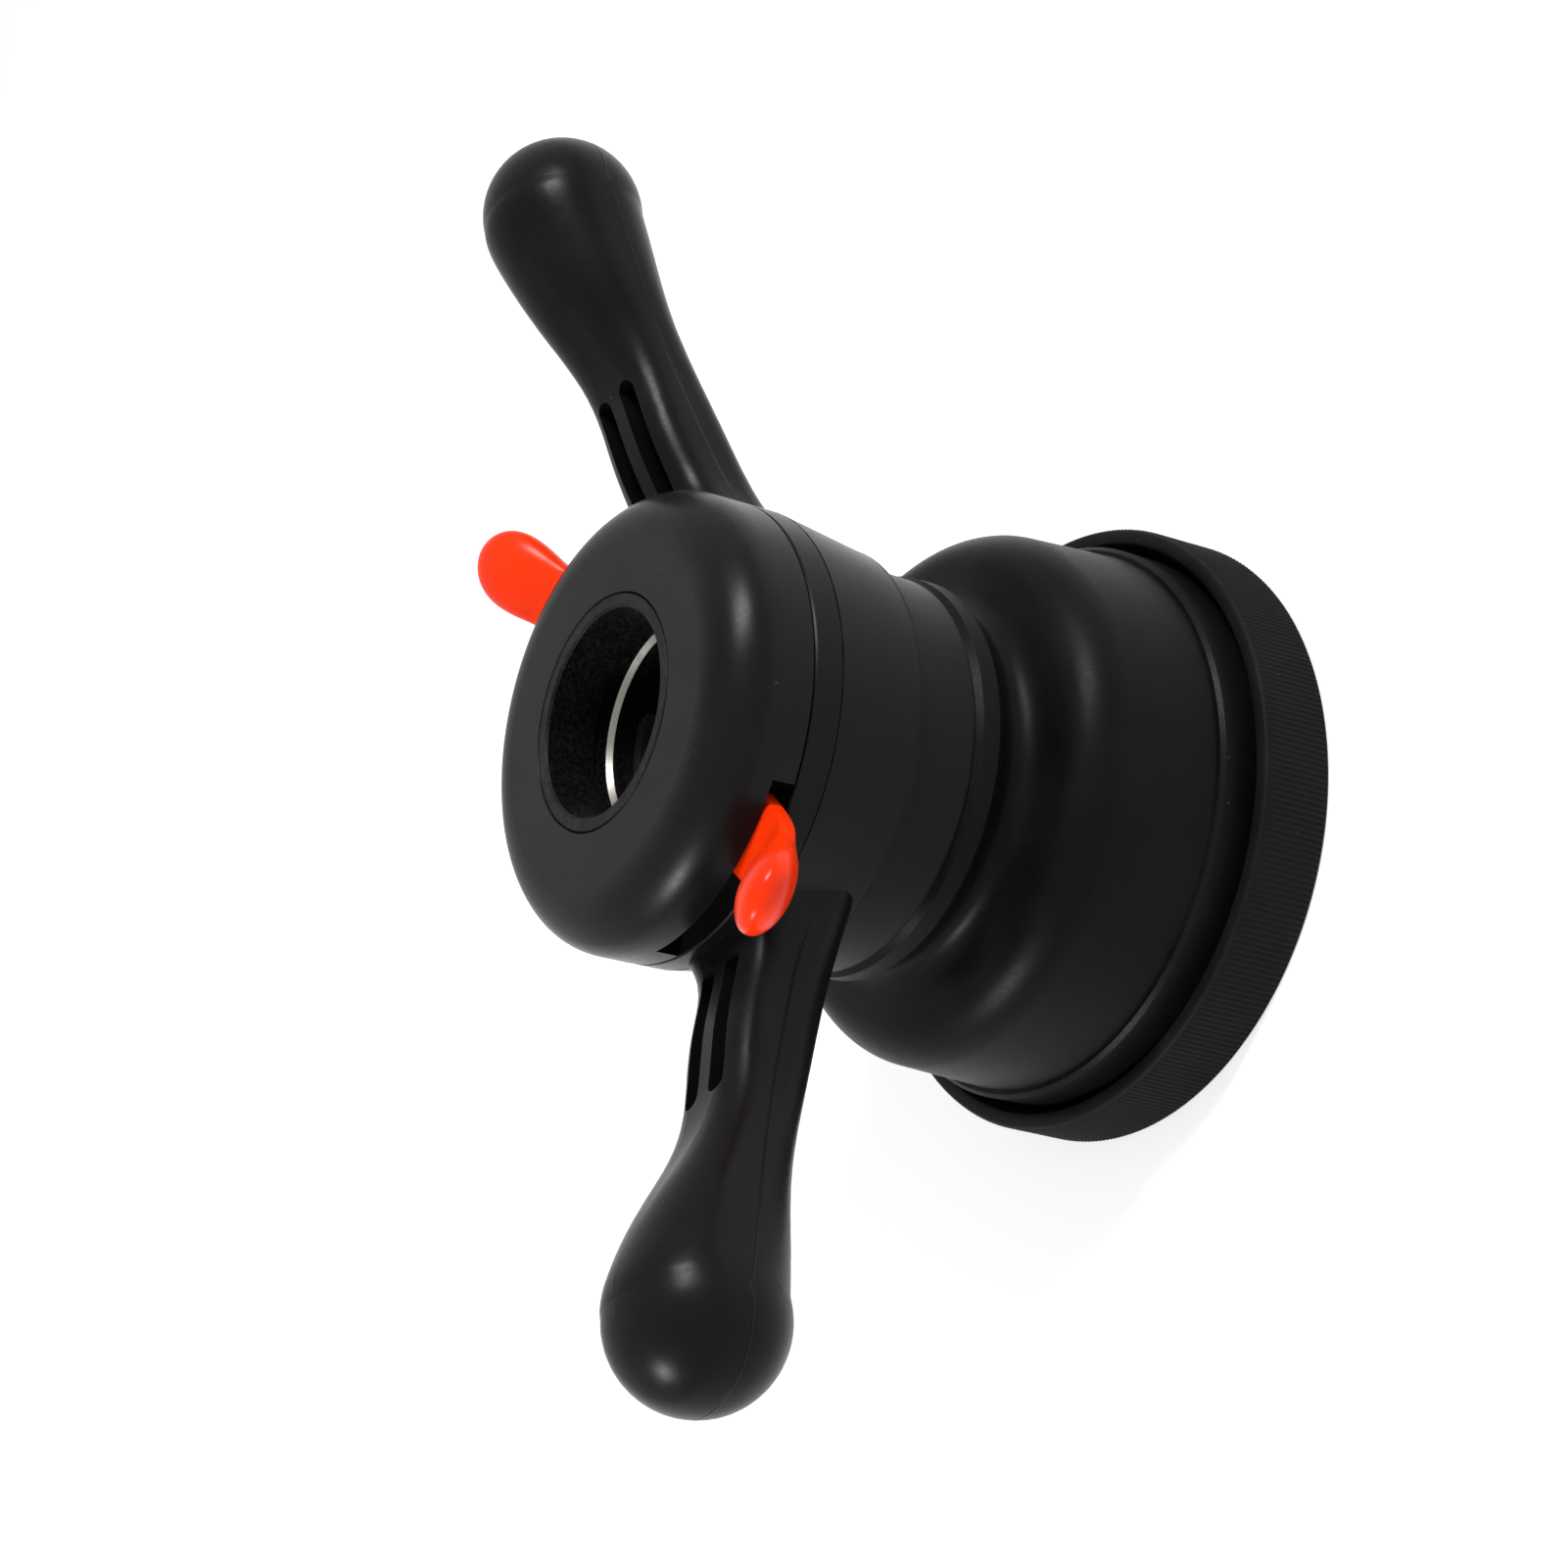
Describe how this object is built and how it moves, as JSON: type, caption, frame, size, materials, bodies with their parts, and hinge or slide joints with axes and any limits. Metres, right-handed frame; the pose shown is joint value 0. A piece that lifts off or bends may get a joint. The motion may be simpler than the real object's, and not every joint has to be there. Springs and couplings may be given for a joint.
{
  "type": "wheel balancer quick-release hub nut",
  "caption": "Hand nut for a threaded balancer shaft, with two handles, two orange levers that open its thread jaws, and a pressure bowl with a rubber ring.",
  "frame": {"origin": "centre of the rubber ring's contact face, on the spindle axis", "axes": "+Z along the spindle axis towards the operator, +X along one handle"},
  "size_m": [0.279, 0.1252, 0.1375],
  "materials": {
    "nut_plastic": "satin black moulded plastic",
    "bowl_plastic": "satin black moulded plastic, fine grain",
    "rubber": "matte black rubber",
    "lever_plastic": "glossy orange-red moulded plastic",
    "steel": "machined steel",
    "dark_steel": "blackened steel",
    "cast_black": "rough black cast iron",
    "cage_brass": "pressed brass"
  },
  "bodies": {
    "bowl": {"pressure_bowl": "bowl_plastic", "rubber_ring": "rubber"},
    "nose": {"pressure_ring": "nut_plastic", "bowl_grip_ring": "rubber", "dust_seal": "rubber", "lower_race": "steel"},
    "cage": {"bearing_balls": "steel", "ball_cage": "cage_brass"},
    "nut": {"nut_body": "nut_plastic", "front_cap": "nut_plastic", "hub_core": "cast_black", "core_screws": "dark_steel", "cap_screws": "dark_steel", "upper_race": "steel", "thrust_washer": "steel", "circlip": "dark_steel", "guide_bush": "steel", "bore_sleeve": "cast_black", "guide_plate": "steel"},
    "cam": {"cam_ring": "steel", "release_lever_1": "lever_plastic", "release_lever_2": "lever_plastic", "lever_rivets": "steel"},
    "jaw_1": {"thread_jaw_1": "dark_steel", "jaw_pin_1": "steel", "jaw_springs_1": "steel"},
    "jaw_2": {"thread_jaw_2": "dark_steel", "jaw_pin_2": "steel", "jaw_springs_2": "steel"}
  },
  "joints": [
    {"name": "bowl_pull_off", "type": "slide", "parent": "bowl", "child": "nose", "axis": [0, 0, 1], "range_m": [0, 0.03]},
    {"name": "nut_spin", "type": "hinge", "parent": "nose", "child": "nut", "pos_m": [0, 0, 0.09], "axis": [0, 0, 1], "continuous": true},
    {"name": "cage_spin", "type": "hinge", "parent": "nose", "child": "cage", "pos_m": [0, 0, 0.0756], "axis": [0, 0, 1], "continuous": true},
    {"name": "release_turn", "type": "hinge", "parent": "nut", "child": "cam", "pos_m": [0, 0, 0.11], "axis": [0, 0, 1], "range_deg": [-30, 0], "stiffness_Nm_per_rad": 0.6, "springref_deg": 9.74},
    {"name": "jaw_1_slide", "type": "slide", "parent": "nut", "child": "jaw_1", "axis": [0, 1, 0], "range_m": [0, 0.0032], "deforming": ["jaw_springs_1"]},
    {"name": "jaw_2_slide", "type": "slide", "parent": "nut", "child": "jaw_2", "axis": [0, -1, 0], "range_m": [0, 0.0032], "deforming": ["jaw_springs_2"]}
  ],
  "couplings": [
    {"joint": "cage_spin", "follows": "nut_spin", "ratio": 0.5},
    {"joint": "jaw_1_slide", "follows": "release_turn", "m_per_rad": -0.0061},
    {"joint": "jaw_2_slide", "follows": "release_turn", "m_per_rad": -0.0061}
  ]
}
